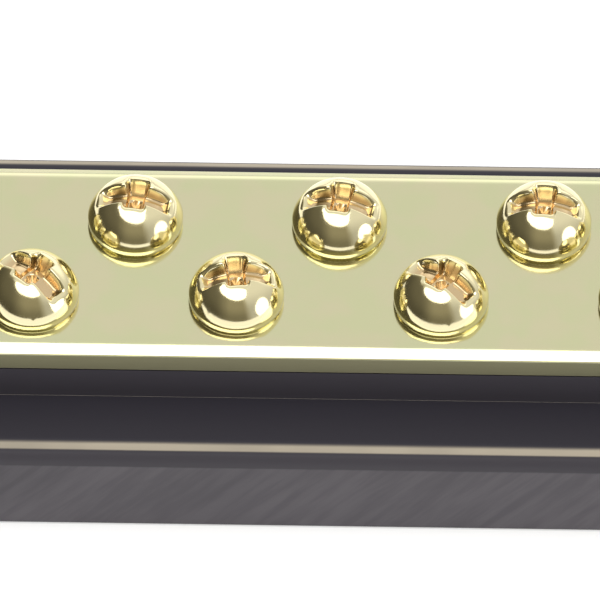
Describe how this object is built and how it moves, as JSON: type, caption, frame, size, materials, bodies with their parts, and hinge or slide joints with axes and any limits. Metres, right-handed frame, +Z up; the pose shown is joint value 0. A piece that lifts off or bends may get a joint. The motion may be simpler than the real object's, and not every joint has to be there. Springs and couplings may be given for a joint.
{
  "type": "bus bar",
  "caption": "Flat brass bus bar on a black moulded base, with round-head terminal screws in staggered rows and a mounting hole at each end.",
  "frame": {"origin": "middle of the base's underside", "axes": "+X along the bar, +Z up out of the screw heads, -Y towards the camera side of the picture"},
  "size_m": [0.16, 0.033, 0.0201],
  "materials": {
    "black_plastic": "black moulded plastic, satin, with fine marks on its sides",
    "bar_brass": "pale rolled brass, polished on top and duller on its edges",
    "screw_brass": "bright golden brass, polished",
    "spring_steel": "plain lock washers",
    "insert_brass": "as turned"
  },
  "bodies": {
    "root": {"base": "black_plastic", "bus_bar": "bar_brass", "terminal_screw_01": "screw_brass", "terminal_screw_02": "screw_brass", "terminal_screw_03": "screw_brass", "terminal_screw_04": "screw_brass", "terminal_screw_05": "screw_brass", "terminal_screw_06": "screw_brass", "terminal_screw_07": "screw_brass", "terminal_screw_08": "screw_brass", "terminal_screw_09": "screw_brass", "terminal_screw_10": "screw_brass", "terminal_screw_11": "screw_brass", "terminal_screw_12": "screw_brass", "fixing_screw_left": "screw_brass", "fixing_screw_right": "screw_brass", "lock_washer_left": "spring_steel", "lock_washer_right": "spring_steel", "threaded_insert_left": "insert_brass", "threaded_insert_right": "insert_brass"}
  },
  "joints": []
}
